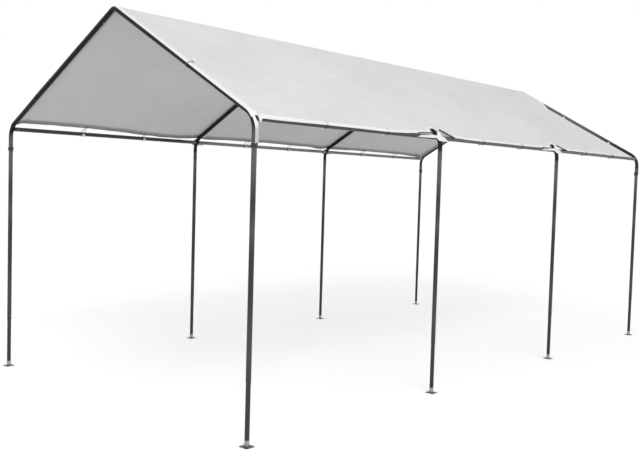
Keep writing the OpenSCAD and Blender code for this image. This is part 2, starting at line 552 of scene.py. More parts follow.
def makeTab(side, i):
    # at a corner: a strip that is wound over the elbow and runs down the leg
    lean = 1 if i < 2 else -1  # where its loose edge points: to the rear or to the front
    sign, y, r0 = sides[side], frameY[i], tubeR + tab["stand"]
    start = edgeAt(side, y) - tab["under"]
    stop = start
    while framePath(stop, r0)[1] > railZ - tab["end"]:
        stop += 0.001
    a0, a1, b0, b1 = tab["angles"][i == 3]
    verts, uvs = [], []
    for t in steps(0, 1, tab["steps"]):
        s = mix(start, stop, t)
        x, z, a = framePath(s, r0)
        loose = ease((t * (stop - start) - tab["under"]) / tab["looseOver"])
        for u in steps(0, 1, tab["round"]):
            angle = mix(mix(a0, a1, u), mix(b0, b1, u), ease(t * 1.4))
            crumple = noise.noise(Vector((7 * u, 9 * t, i + 5 * sign))) + 0.4
            off = tab["flare"][i == 3] * ease((u - 0.25) / 0.75)
            off += tab["bulge"] * u * (1 + math.sin(9 * t + 2 * i))
            r = r0 + loose * (off + tab["crumple"] * crumple)
            turn = math.radians(angle) * lean
            p = Vector((sign * x, y, z)) + outward(a, sign) * (r * math.cos(turn) - r0)
            p.y += r * math.sin(turn)
            verts.append(p)
            uvs.append((u * tab["width"], s))
    order = (0, 3, 2, 1) if sign * lean > 0 else (1, 2, 3, 0)
    return verts, gridFaces(tab["steps"] + 1, tab["round"] + 1, order), uvs


def makeFlap(side, i):
    # at a middle frame: a band over both rails' ends, with a neck up under the sheet
    sign, y0, out = sides[side], frameY[i], tubeR + tab["stand"]
    railS = edgeAt(side, y0)
    while sheetPath(railS, y0, out)[1] > railZ:
        railS += 0.0005
    neckTop = edgeAt(side, y0) - tab["under"] - railS
    start, stop = flap["top"][0][0], flap["top"][-1][0]
    verts, uvs = [], []
    for d in steps(start, stop, flap["columns"]):
        far = d / (start if d < 0 else stop)
        bandTop, low = along(flap["top"], d), along(flap["low"], d)
        inNeck = ease((flap["neck"] + flap["neckEase"] - abs(d)) / flap["neckEase"])
        for v in steps(0, 1, flap["rows"]):
            s = railS + mix(mix(bandTop, neckTop, inNeck), low, v)
            y = y0 + d + flap["slant"] * max(0, railS + bandTop - s)
            x, z, a = sheetPath(s, y, out)
            size = flap["rippleSize"]
            ripple = max(0, noise.noise(Vector((d / size, s / size, i + 5 * sign))) + 0.3)
            r = flap["ripple"] * ripple + flap["droop"] * ease((v - 0.6) / 0.4) * (1 - far)
            verts.append(Vector((sign * x, y, z)) + outward(a, sign) * r)
            uvs.append((s, d))
    order = (0, 1, 2, 3) if sign > 0 else (3, 2, 1, 0)
    return verts, gridFaces(flap["columns"] + 1, flap["rows"] + 1, order), uvs


def makeTabs():
    makers = (makeTab, makeFlap, makeFlap, makeTab)
    o = joined("elbow_tabs", [make(side, i) for side in sides for i, make in enumerate(makers)])
    made = thicken(o, tab["thickness"], 1)
    # painted shade on the tabs' lower ends, painted highlight above them
    low = [ease((railZ - 0.03 - v.co.z) / 0.05) for v in made.data.vertices]
    pointValues(made, "paintedHemShade", [tab["grime"] * v for v in low])
    pointValues(made, "paintedHemHighlight", [1 - v for v in low])
    return made


# dark elastic: wound round each corner leg and over the end of its tab; and a dark cord along the sheet's
# edge either side of each middle elbow, a dark thing put where there is painted shade under the lifted
# edge
band = {
    "turns": 5,
    "perTurn": 22,
    "radius": 0.0026,
    "pitch": 0.0054,
    "top": 0.156,  # below the rail
    "stand": 0.0004,
    "lap": 0.0011,  # the first turn lies over the tab's end
    "waver": 0.0006,
    # the hitch's points: how far down the turns, then along the rails and up from there
    "hitch": ((0, 0.004, 0.004), (0, 0.0, -0.004), (0.5, -0.002, 0), (1, 0.001, 0.004),
              (1, 0.005, -0.004), (1, 0.009, -0.016)),
}
# painted shade: dark cord along the lifted edge; the start, end and radius of each length
shadeCord = {"parts": ((-0.30, -0.024, 0.0040), (0.055, 0.20, 0.0060)), "step": 0.009, "stand": 0.0008}


def makeShadeCords():
    parts = []
    for side in sides:
        for y0 in frameY[1:3]:
            for start, stop, radius in shadeCord["parts"]:
                points = []
                for y in steps(y0 + start, y0 + stop, round((stop - start) / shadeCord["step"])):
                    p, facing = coverAt(side, edgeAt(side, y) + 0.001, y)
                    points.append(p + facing * (radius + shadeCord["stand"]))
                parts.append(sweep(points, radius))
    return parts


def makeBands():
    parts, r = makeShadeCords(), band["radius"]
    top = railZ - band["top"]
    low = top - band["pitch"] * band["turns"]
    for sign in sides.values():
        for i in (0, 3):
            centre = Vector((sign * halfW, frameY[i], 0))
            points = []
            for k in range(band["turns"] * band["perTurn"] + 1):
                a = 2 * math.pi * k / band["perTurn"]
                out = tubeR + r + band["stand"] + (band["lap"] if k < band["perTurn"] else 0)
                z = top - band["pitch"] * k / band["perTurn"] + band["waver"] * math.sin(3 * a + i)
                points.append(centre + Vector((out * math.cos(a), out * math.sin(a), z)))
            parts.append(sweep(points, r))
            # a hitch across the turns, on the inner side
            inner = centre - Vector((sign * (tubeR + 2.3 * r), 0, 0))
            hitch = [inner + Vector((0, dy, mix(top, low, t) + dz)) for t, dy, dz in band["hitch"]]
            parts.append(sweep(rounded(hitch, 6), r * 0.95))
    return joined("elbow_elastics", parts)


# ball ties: a ball, and an elastic loop round the tube and through an eyelet
tie = {
    "ballR": 0.015,
    "ballSides": 28,
    "ballAngle": 200,  # round the tube, on its inner side
    "ballOut": 0.0331,  # from the tube's middle
    "cordR": 0.0014,
    "gap": 0.0002,  # between a cord and a tube
    "sheetGap": 0.0029,  # from the sheet's middle to a cord on it
    "apart": (0.0012, 0.0016),  # a strand from the middle, at the ball and at the eyelet
    "widening": 0.0030,  # and how much more by the tube
    "turns": (-115, 26),  # the last angle round the tube, and the step
    "hook": ((0.25, 0.45), (0.5, 0.9), (0.8, 0.55), (1.0, 0.18)),  # over the ball, and to the side
    "eyeletIn": 0.030,  # from the sheet's edge
    "gableEyeletIn": 0.026,  # behind the front frame
    "eyeletLift": 0.0006,
    "gableApart": 0.0017,
    "gableTurns": (20, -200, -27),  # the angles round the rafter
    "gableBall": (0.0026, 0.009),  # above the eyelet, and back from it
    "gablePlaces": ((0, 0.57), (3, 0.40), (3, 0.78)),  # frame, and part of the way down its rafter
    "ballProfile": ((0, -1), (0.16, -1.0), (0.20, -0.93), (0.34, -0.94), (0.56, -0.83),
                    (0.75, -0.66), (0.89, -0.45), (0.97, -0.22), (0.995, -0.06), (1.02, -0.03),
                    (1.02, 0.03), (0.995, 0.06), (0.97, 0.22), (0.89, 0.45), (0.75, 0.66),
                    (0.56, 0.83), (0.34, 0.94), (0.15, 0.99), (0, 1.0)),
}


def clearOf(p, keepOuts):
    # moves a cord's point out of the tube and the ball
    for centre, axis, least in keepOuts:
        d = p - centre
        if axis:
            d = d - axis * d.dot(axis)
        if d.length < least:
            p = p + d.normalized() * (least - d.length)
    return p


def strand(route, keepOuts):
    line = [clearOf(p, keepOuts) for p in rounded([clearOf(p, keepOuts) for p in route], 5)]
    return sweep(line, tie["cordR"])


def tieLoop(centre, axis, out, up, eye, eyeNormal, rim, rimNormal):
    # two strands from the ball's hole up through the eyelet, back over the sheet's edge,
    # round the tube's outer side, and hooked over the ball behind it
    r, (last, step), (apartBall, apartEye) = tie["cordR"], tie["turns"], tie["apart"]
    keepR = tubeR + r + tie["gap"]
    ball = polar(centre, out, up, tie["ballAngle"], tie["ballOut"])
    hole = (eye - ball).normalized()
    keepOuts = ((centre, axis, keepR), (ball, None, tie["ballR"] + r))
    toRim = rim - centre
    rimAngle = math.degrees(math.atan2(toRim.dot(up), toRim.dot(out)))
    angle = rimAngle - math.degrees(math.acos(min(1, keepR / toRim.length)))
    arrival = (polar(centre, out, up, last, keepR) - ball).normalized()
    parts = []
    for k in (-1, 1):
        route = [ball + hole * (tie["ballR"] + reach) + axis * (k * apartBall)
                 for reach in (-0.002, 0.004)]
        route += [eye + eyeNormal * reach + axis * (k * apartEye) for reach in (-0.006, 0.0, 0.0034)]
        for share in (0.4, 0.75, 1.0):
            shift = axis * (k * (apartEye + tie["widening"] * share))
            facing = eyeNormal.lerp(rimNormal, share).normalized()
            route.append(eye.lerp(rim, share) + facing * tie["sheetGap"] + shift)
        turn = angle
        while turn > last:
            route.append(polar(centre, out, up, turn, keepR, shift))
            turn -= step
        for share, aside in tie["hook"]:
            around = arrival * (1 - share) + hole * share + axis * (k * aside)
            route.append(ball + around.normalized() * (tie["ballR"] + r * (1 + 0.9 * share ** 3)))
        parts.append(strand(route, keepOuts))
    return parts, ball, hole


def gableLoop(centre, axis, out, up, eye, eyeNormal, *_):
    # from under a ball on the sheet over the hem, round the rafter and up through the eyelet
    r, (over, back) = tie["cordR"], tie["gableBall"]
    ball = eye + eyeNormal * (tie["ballR"] + over) - out * back
    keepOuts = ((centre, axis, tubeR + r + tie["gap"]),)
    parts = []
    for k in (-1, 1):
        shift = axis * (k * tie["gableApart"])
        route = [eye + eyeNormal * 0.004 - out * 0.002 + shift,
                 eye + eyeNormal * over + out * 0.006 + shift]
        route += [polar(centre, out, up, turn, tubeR + 0.0028 + r, shift) for turn in (72, 54)]
        for turn in range(*tie["gableTurns"]):
            route.append(polar(centre, out, up, turn, tubeR + r + 0.0003, shift))
        route += [eye - eyeNormal * 0.006 + shift, eye + shift, eye + eyeNormal * 0.003 + shift]
        parts.append(strand(route, keepOuts))
    return parts, ball, (out * 0.55 - eyeNormal).normalized()


def eavePlaces():
    for side, sign in sides.items():
        for place in tiePlaces:
            y = yAt(place)
            edge = edgeAt(side, y)
            yield (tieLoop, Vector((sign * railX, y, railZ)), Vector((0, 1, 0)), Vector((sign, 0, 0)),
                   Vector((0, 0, 1)), coverAt(side, edge - tie["eyeletIn"], y), coverAt(side, edge, y))


def gablePlaces():
    for side, sign in sides.items():
        for i, share in tie["gablePlaces"]:
            s = share * rafterL
            x, z, a = framePath(s, 0.0)
            out, up = Vector((0, -1 if i == 0 else 1, 0)), outward(a, sign)
            rimY = frontEdge(s) if i == 0 else rearEdge(s)
            eyeY = frameY[0] + tie["gableEyeletIn"] if i == 0 else rimY - tie["eyeletIn"]
            yield (gableLoop if i == 0 else tieLoop, Vector((sign * x, frameY[i], z)), up.cross(out), out,
                   up, coverAt(side, s, eyeY), coverAt(side, s, rimY))


def makeTies(name, places):
    # the cords as one piece and the balls as another; gives the balls and the eyelets' points
    cords, balls, eyelets = [], [], []
    profile = [(r * tie["ballR"], -h * tie["ballR"]) for r, h in reversed(tie["ballProfile"])]
    for makeLoop, centre, axis, out, up, (eye, eyeNormal), (rim, rimNormal) in places:
        strands, ball, hole = makeLoop(centre, axis, out, up, eye, eyeNormal, rim, rimNormal)
        cords += strands
        balls.append(lathe(profile, ball, hole, tie["ballSides"]))
        eyelets.append((eye + eyeNormal * tie["eyeletLift"], eyeNormal, axis))
    dress(joined(name + "_cords", cords), elasticBraid)
    return dress(joined(name + "_balls", balls), ballPlastic), eyelets


# nodes, for small parts and for finishes
def feed(tree, node, values):
    # values by the node's inputs: a plain value, or another node's output
    for key, value in values.items():
        socket = node.inputs[key]
        if isinstance(value, bpy.types.NodeSocket):
            tree.links.new(value, socket)
        else:
            socket.default_value = (*value, 1) if socket.type == "RGBA" else value


def addNode(tree, kind, values=None, **settings):
    made = tree.nodes.new(kind)
    for key, value in settings.items():
        setattr(made, key, value)
    feed(tree, made, values or {})
    return made


def addSockets(tree, inputs, outputs):
    # each has its kind, or its default value where it is a number
    for way, sockets in (("INPUT", inputs), ("OUTPUT", outputs)):
        for label, kind in sockets.items():
            number = not isinstance(kind, str)
            made = tree.interface.new_socket(label, in_out=way,
                                             socket_type="NodeSocket" + ("Float" if number else kind))
            if number:
                made.default_value = kind
    return addNode(tree, "NodeGroupInput").outputs, addNode(tree, "NodeGroupOutput")


def mathNode(tree, operation, *values, clamp=False):
    values = dict(enumerate(values))
    return addNode(tree, "ShaderNodeMath", values, operation=operation, use_clamp=clamp).outputs[0]


def times(tree, a, b):
    return mathNode(tree, "MULTIPLY", a, b)


def plus(tree, a, b):
    return mathNode(tree, "ADD", a, b)


def larger(tree, a, b):
    return mathNode(tree, "MAXIMUM", a, b)


def restOf(tree, a):
    # what is left of 1
    return mathNode(tree, "SUBTRACT", 1.0, a, clamp=True)


def ribs(tree, a):
    return mathNode(tree, "ABSOLUTE", mathNode(tree, "SINE", a))


def split(tree, vector):
    return addNode(tree, "ShaderNodeSeparateXYZ", {0: vector}).outputs


def mixColor(tree, factor, a, b):
    return addNode(tree, "ShaderNodeMix", {0: factor, 6: a, 7: b}, data_type="RGBA").outputs[2]


def noiseNode(tree, vector, scale, detail=3, rough=0.55):
    values = {"Vector": vector, "Scale": scale, "Detail": detail, "Roughness": rough}
    return addNode(tree, "ShaderNodeTexNoise", values).outputs["Fac"]


def cellNode(tree, vector, scale, output, **settings):
    values = {"Vector": vector, "Scale": scale}
    return addNode(tree, "ShaderNodeTexVoronoi", values, **settings).outputs[output]


def remap(tree, value, low, high, toLow=0.0, toHigh=1.0):
    values = {"Value": value, "From Min": low, "From Max": high, "To Min": toLow, "To Max": toHigh}
    return addNode(tree, "ShaderNodeMapRange", values).outputs["Result"]


def texturePlace(tree, kind="Object"):
    return addNode(tree, "ShaderNodeTexCoord").outputs[kind]


# small parts that repeat are grown by geometry nodes on points
def grownTree(name, sizes, shape):
    # one tree for each kind of small part: its sizes are inputs, and shape() builds one
    tree = bpy.data.node_groups.new(name, "GeometryNodeTree")
    given, result = addSockets(tree, {"Points": "Geometry", **sizes, "Finish": "Material"},
                               {"Parts": "Geometry"})
    axes = [addNode(tree, "GeometryNodeInputNamedAttribute", {"Name": label}, data_type="FLOAT_VECTOR")
            .outputs["Attribute"] for label in ("facing", "lie")]
    turned = addNode(tree, "FunctionNodeAxesToRotation", {0: axes[0], 1: axes[1]}, primary_axis="Z",
                     secondary_axis="X")
    size = addNode(tree, "FunctionNodeRandomValue", {2: 0.92, 3: 1.08, "Seed": 7}, data_type="FLOAT")
    placed = addNode(tree, "GeometryNodeInstanceOnPoints", {
        "Points": given["Points"], "Instance": shape(tree, given), "Rotation": turned.outputs[0],
        "Scale": size.outputs[1]})
    whole = addNode(tree, "GeometryNodeRealizeInstances", {0: placed.outputs[0]})
    finish = addNode(tree, "GeometryNodeSetMaterial", {0: whole.outputs[0], "Material": given["Finish"]})
    feed(tree, result, {0: finish.outputs[0]})
    return tree


def lengthways(tree, x, z):
    return addNode(tree, "ShaderNodeCombineXYZ", {"X": x, "Z": z}).outputs[0]


def circle(tree, radius, count):
    made = addNode(tree, "GeometryNodeCurvePrimitiveCircle", {"Radius": radius, "Resolution": count})
    return made.outputs["Curve"]


def swept(tree, path, section, caps=False):
    return addNode(tree, "GeometryNodeCurveToMesh", {"Curve": path, "Profile Curve": section,
                                                     "Fill Caps": caps}).outputs[0]


def flattened(tree, shape, scale, lift=(0, 0, 0)):
    made = addNode(tree, "GeometryNodeTransform", {"Geometry": shape, "Scale": scale, "Translation": lift})
    return made.outputs[0]


def together(tree, *shapes):
    made = addNode(tree, "GeometryNodeJoinGeometry")
    for shape in shapes:
        feed(tree, made, {0: shape})
    return made.outputs[0]


def stitchShape(tree, given):
    # a thread that rises out of the fabric and goes back in
    half, sink = times(tree, given["Length"], 0.5), times(tree, given["Thread"], -0.9)
    path = addNode(tree, "GeometryNodeCurveQuadraticBezier", {
        "Resolution": 3, "Start": lengthways(tree, times(tree, half, -1), sink),
        "Middle": lengthways(tree, 0, times(tree, given["Thread"], 2.2)),
        "End": lengthways(tree, half, sink)})
    return swept(tree, path.outputs["Curve"], circle(tree, given["Thread"], 4), caps=True)


def eyeletShape(tree, given):
    # a pressed ring: a rolled collar on a flat washer
    radius, roll = given["Radius"], given["Roll"]
    collar = swept(tree, circle(tree, radius, 22), circle(tree, roll, 8))
    collar = flattened(tree, collar, (1, 1, 0.7), lengthways(tree, 0, times(tree, roll, 0.4)))
    washer = swept(tree, circle(tree, times(tree, radius, 1.3), 22), circle(tree, roll, 6))
    return together(tree, collar, flattened(tree, washer, (1, 1, 0.3)))


def buttonShape(tree, given):
    # a spring button: a low dome that stands in the rim of its hole
    radius = given["Radius"]
    ball = addNode(tree, "GeometryNodeMeshUVSphere", {"Segments": 14, "Rings": 8, "Radius": radius})
    rim = swept(tree, circle(tree, times(tree, radius, 1.22), 18),
                circle(tree, times(tree, radius, 0.12), 6))
    return together(tree, flattened(tree, ball.outputs["Mesh"], (1, 1, 0.75)), rim)


def beadShape(tree, given):
    # one ripple of a weld
    blob = addNode(tree, "GeometryNodeMeshIcoSphere", {"Subdivisions": 2, "Radius": given["Radius"]})
    return flattened(tree, blob.outputs["Mesh"], (1.25, 0.8, 0.9))


def grown(name, tree, points, material):
    # points are (place, facing, lie) for each copy
    mesh = bpy.data.meshes.new(name + "_points")
    mesh.from_pydata([p[0] for p in points], [], [])
    for label, column in (("facing", 1), ("lie", 2)):
        layer = mesh.attributes.new(label, "FLOAT_VECTOR", "POINT")
        layer.data.foreach_set("vector", [c for p in points for c in p[column]])
    o = linked(name + "_points", mesh)
    change = o.modifiers.new("grown", "NODES")
    change.node_group = tree
    for item in tree.interface.items_tree:
        if item.name == "Finish":
            change[item.identifier] = material
    return dress(plainMesh(o, name), material)


stitch = {
    "pitch": 0.010,
    "length": 0.0066,
    "thread": 0.00042,
    "rows": (0.004, 0.035),  # from the edge
    "ahead": 0.004,
    "sideShort": 0.07,  # a side's rows end this much before the rear frame
    "gableShort": 0.03,  # and a gable's before the eave
}


def addStitches(points, seamAt, inside=True):
    # seamAt gives a point of a row, at a distance along it
    for row in stitch["rows"]:
        p, outside = seamAt(0, row)
        lie = (seamAt(stitch["ahead"], row)[0] - p).normalized()
        for face in (1, -1) if inside and row == stitch["rows"][1] else (1,):
            facing = outside * face
            points.append((p + facing * cover["hemThickness"] / 2, facing, lie))


def stitchPoints():
    # along the four edges: two rows outside, one inside; each edge is its own piece
    found = {"right": [], "left": [], "front": [], "rear": []}
    length = frameY[3] - stitch["sideShort"] - frameY[0]
    sideCount = round((frameY[3] - frameY[0]) / stitch["pitch"])
    gableCount = round(rafterL / stitch["pitch"])
    for side in sides:
        for k in range(1, sideCount):
            y = frameY[0] + length * k / sideCount
            addStitches(found[side], lambda d, row: coverAt(side, edgeAt(side, y + d) - row, y + d))
        for k in range(1, gableCount - 2):
            s = (rafterL - stitch["gableShort"]) * k / gableCount
            addStitches(found["front"], lambda d, row: coverAt(side, s + d, frontEdge(s + d) + row), False)
            addStitches(found["rear"], lambda d, row: coverAt(side, s + d, rearEdge(s + d) - row))
    return found


button = {
    "radius": 0.0036,
    "fromEnd": 0.030,
    "ridgeEnd": 0.0185,  # where a ridge rail starts, past its frame
}


def buttonPoints():
    # one at each joint, on the side that faces into the shelter
    points, up, fromEnd = [], Vector((0, 0, 1)), button["fromEnd"]
    for side, sign in sides.items():
        inward = Vector((-sign, 0, 0))
        for y, name in zip(frameY, frameNames):
            for z in (legTop - fromEnd, legJoint + fromEnd):
                points.append((Vector((sign * halfW, y, z)) + inward * tubeR, inward, up))
            low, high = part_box(f"{side}_{name}_rafter")
            down = Vector((sign * math.cos(slope), 0, -math.sin(slope)))
            under = Vector((-sign * math.sin(slope), 0, -math.cos(slope)))
            reach = math.sin(slope) * tubeR, math.cos(slope) * tubeR
            nearX, farX = (low[0], high[0])[::sign]
            top = Vector((nearX + sign * reach[0], y, high[2] - reach[1]))
            bottom = Vector((farX - sign * reach[0], y, low[2] + reach[1]))
            for place in (top + down * fromEnd, bottom - down * fromEnd):
                points.append((place + under * tubeR, under, down))
        for name in ("front", "middle", "rear"):
            low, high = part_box(f"{side}_{name}_eave_rail")
            for y in (low[1] + fromEnd, high[1] - fromEnd):
                points.append((Vector((sign * railX, y, railZ)) + inward * tubeR, inward, up))
    for y0, y1 in zip(frameY, frameY[1:]):
        for y in (y0 + button["ridgeEnd"] + fromEnd, y1 - button["ridgeEnd"] - fromEnd):
            points.append((Vector((0, y, ridgeZ - tubeR)), -up, Vector((1, 0, 0))))
    return points


weld = {
    "radius": 0.0013,
    "count": 26,
    "spigotIn": 0.0015,  # a spigot's radius is less than the tube's
    "neckOut": 0.0004,  # and a foot's neck is wider than a spigot
    "plateTop": 0.0036,
}


def weldPoints():
    # round each spigot's root, where it meets its elbow or ridge fitting, and each foot's neck
    points = []
    spigotR = tubeR - weld["spigotIn"]
    neckR = spigotR + weld["neckOut"]
    roots = ((railX, railZ, eaveTurn / 2), (-railX, railZ, math.pi - eaveTurn / 2),
             (0, ridgeZ, math.pi / 2))
    turns = [2 * math.pi * k / weld["count"] for k in range(weld["count"])]
    for i, y in enumerate(frameY):
        for toward in [way for way in (-1, 1) if 0 <= i + way <= 3]:
            for x, z, a in roots:
                up = outward(a)
                over = Vector((-up.z, 0, up.x))
                for t in turns:
                    arm = over * (spigotR * math.cos(t)) + up * (spigotR * math.sin(t))
                    depth = math.sqrt(tubeR ** 2 - (spigotR * math.sin(t)) ** 2)
                    lie = (up * math.cos(t) - over * math.sin(t)).normalized()
                    facing = (arm.normalized() + Vector((0, toward, 0))).normalized()
                    points.append((Vector((x, y + toward * depth, z)) + arm, facing, lie))
    for sign in sides.values():
        for y in frameY:
            for t in turns:
                arm = Vector((math.cos(t), math.sin(t), 0))
                place = Vector((sign * halfW, y, weld["plateTop"])) + arm * neckR
                facing = (arm + Vector((0, 0, 1))).normalized()
                points.append((place, facing, Vector((-arm.y, arm.x, 0))))
    return points


# shader groups that more than one finish uses
def shaderGroup(name, inputs, *outputs):
    tree = bpy.data.node_groups.new(name, "ShaderNodeTree")
    return tree, *addSockets(tree, inputs, dict.fromkeys(outputs, "Float"))


def useGroup(tree, group, **values):
    values = {label.replace("_", " "): value for label, value in values.items()}
    return addNode(tree, "ShaderNodeGroup", values, node_tree=group).outputs


def weaveGroup():
    # a plain weave: two sets of ribs that pass over and under each other
    tree, given, result = shaderGroup("weave", {"Vector": "Vector", "Pitch": 0.002}, "Height", "Gaps")
    values = {0: given["Vector"], "Scale": mathNode(tree, "DIVIDE", math.pi, given["Pitch"])}
    u, v, _ = split(tree, addNode(tree, "ShaderNodeVectorMath", values, operation="SCALE").outputs[0])
    over = times(tree, mathNode(tree, "SINE", u), mathNode(tree, "SINE", v))
    warp = times(tree, ribs(tree, u), remap(tree, over, -1, 1, 0.45, 1))
    weft = times(tree, ribs(tree, v), remap(tree, over, -1, 1, 1, 0.45))
    feed(tree, result, {"Height": larger(tree, warp, weft),
                        "Gaps": restOf(tree, larger(tree, ribs(tree, u), ribs(tree, v)))})
    return tree


def wearGroup():
    # blotches, fine scratches, and dust that gathers near the ground
    tree, given, result = shaderGroup("wear", {"Vector": "Vector", "Scale": 12.0, "Dust Height": 0.3},
                                      "Blotch", "Scratch", "Dust")
    vector = given["Vector"]
    stretched = addNode(tree, "ShaderNodeMapping", {"Vector": vector, "Scale": (260, 260, 26)})
    lines = noiseNode(tree, stretched.outputs[0], 1.0, 2)
    low = restOf(tree, mathNode(tree, "DIVIDE", split(tree, vector)[2], given["Dust Height"]))
    speck = remap(tree, noiseNode(tree, vector, 60, 4), 0.35, 0.75)
    feed(tree, result, {"Blotch": noiseNode(tree, vector, given["Scale"], 5),
                        "Scratch": remap(tree, lines, 0.66, 0.74), "Dust": times(tree, low, speck)})
    return tree


weaveTree, wearTree = weaveGroup(), wearGroup()


def newFinish(name, **shader):
    # a Principled material with its plain values set, and its tree
    made = bpy.data.materials.new(name)
    made.use_nodes = True
    tree = made.node_tree
    principled = tree.nodes["Principled BSDF"]
    feed(tree, principled, {label.replace("_", " "): value for label, value in shader.items()})
    return made, tree, principled


def bump(tree, shader, *layers):
    # each layer is a height, its depth and its strength, and lies on the one before it
    normal = {}
    for height, depth, strength in layers:
        values = {"Height": height, "Distance": depth, "Strength": strength, **normal}
        normal = {"Normal": addNode(tree, "ShaderNodeBump", values).outputs[0]}
    feed(tree, shader, normal)


fabric = {
    "light": (0.785, 0.78, 0.795),
    "dull": (0.727, 0.722, 0.738),
    "gap": (0.605, 0.605, 0.617),
    "grime": (0.60, 0.60, 0.585),
    # painted shade under the hems and painted highlight over them: attribute, share and colour
    "hems": (("paintedHemShade", 0.70, (0.12, 0.12, 0.125)), ("paintedHemHighlight", 0.8, (0.93, 0.93, 0.935))),
    "pitch": 0.0021,
    "folds": (0.58, 0.61),
    "foldWidth": 0.007,
    "foldStart": 20.23,
}


def fabricFinish():
    # coated woven fabric, with creases from its packing and a faint grime
    made, tree, shader = newFinish("cover_cloth", Roughness=0.55, Specular_IOR_Level=0.35,
                                   Sheen_Weight=0.15, Sheen_Roughness=0.4)
    uv, place = texturePlace(tree, "UV"), texturePlace(tree)
    weave = useGroup(tree, weaveTree, Vector=uv, Pitch=fabric["pitch"])
    grime = remap(tree, noiseNode(tree, place, 7, 6, 0.65), 0.45, 0.75)
    broad = remap(tree, noiseNode(tree, place, 1.3, 5), 0.35, 0.65)
    color = mixColor(tree, broad, fabric["light"], fabric["dull"])
    color = mixColor(tree, times(tree, grime, 0.18), color, fabric["grime"])
    # the weave's gaps darker: painted shade between the ribs
    color = mixColor(tree, times(tree, weave["Gaps"], 0.45), color, fabric["gap"])
    # painted shade on the hem's underside and a little above it, and a painted highlight on the hem from
    # above
    for label, share, shade in fabric["hems"]:
        hem = addNode(tree, "ShaderNodeAttribute", attribute_name=label).outputs["Fac"]
        color = mixColor(tree, times(tree, hem, share), color, shade)
    feed(tree, shader, {"Base Color": color, "Roughness": remap(tree, grime, 0, 1, 0.50, 0.68)})
    # soft creases where the sheet was folded, and small crumples between them
    lines = []
    for run, pitch in zip(split(tree, uv), fabric["folds"]):
        shifted = plus(tree, run, times(tree, noiseNode(tree, place, 2.2), 0.02))
        away = mathNode(tree, "PINGPONG", plus(tree, shifted, fabric["foldStart"]), pitch / 2)
        lines.append(restOf(tree, mathNode(tree, "DIVIDE", away, fabric["foldWidth"])))
    faded = times(tree, larger(tree, *lines), remap(tree, noiseNode(tree, place, 1.7), 0.3, 0.7))
    crumple = times(tree, cellNode(tree, place, 9, "Distance", feature="SMOOTH_F1"), 0.8)
    soft = plus(tree, crumple, noiseNode(tree, place, 26, 4))
    bump(tree, shader, (soft, 0.0022, 0.35), (faded, 0.0012, 0.45), (weave["Height"], 0.00035, 0.5))
    return made


steel = {
    "dark": ((0.004, 0.0046, 0.0048), (0.009, 0.0098, 0.0100)),  # near-black of the painted shade under the cover, new and worn
    "blotch": (0.07, 0.073, 0.074),
    "scratch": (0.16, 0.165, 0.165),
    "dust": (0.16, 0.15, 0.135),
    # painted reflections and shade: the tubes' grey in bands, against its height
    "tones": ((0.0, 0.012), (0.30, 0.022), (0.45, 0.040), (0.62, 0.056), (0.78, 0.044), (0.92, 0.026),
              (1.18, 0.024), (1.28, 0.040), (1.37, 0.078), (1.46, 0.046), (1.56, 0.026),
              (1.66, 0.060), (1.74, 0.098), (1.96, 0.118), (2.04, 0.040)),
    "tint": (0.96, 1.01, 1.02),
    "shade": (1.955, 1.985),  # above this height the fittings are near-black: painted shade under the cover
    "sunny": (-1.6, -2.9, 0.0, 0.06),  # and higher up towards the front frame
    "rearLitGrey": ((0.030, 0.032, 0.033), (0.15, 0.155, 0.158)),  # painted light on the rear frame's fittings, low and high
    "litRailGrey": ((0.085, 0.089, 0.090), (0.27, 0.28, 0.285)),  # painted light: paler rails past the front bay, right and left
}


def paintedReflectionBands(tree, height):
    # painted reflections and shade: lighter and darker grey bands, against the height above the floor
    top = steel["tones"][-1][0]
    ramp = addNode(tree, "ShaderNodeValToRGB", {"Fac": mathNode(tree, "DIVIDE", height, top, clamp=True)})
    stops = ramp.color_ramp.elements
    for k, (z, grey) in enumerate(steel["tones"]):
        stop = stops[k] if k < 2 else stops.new(z / top)
        stop.position = z / top
        stop.color = (*(grey * share for share in steel["tint"]), 1)
    return ramp.outputs["Color"]


def shadedFittingColor(tree, blotch, height, y, color):
    # painted shade: near-black where the cover shades the fittings; and painted light: greyer high on the
    # rear frame's fittings
    dark = mixColor(tree, blotch, *steel["dark"])
    shade = mathNode(tree, "SUBTRACT", height, remap(tree, y, *steel["sunny"]))
    rear = mixColor(tree, remap(tree, height, 2.2, 2.45), *steel["rearLitGrey"])
    dark = mixColor(tree, remap(tree, y, 2.9, 3.0), dark, rear)
    return mixColor(tree, remap(tree, shade, *steel["shade"]), color, dark)


def litRailColor(tree, x, y, z, color):
    # painted light: paler eave rails past the front bay
    litRailGrey = mixColor(tree, remap(tree, x, 1, -1), *steel["litRailGrey"])
    past = remap(tree, y, -1.25, -0.85)
    onRail = remap(tree, z, railZ - 0.02, railZ - 0.018)
    return mixColor(tree, times(tree, past, onRail), color, litRailGrey)


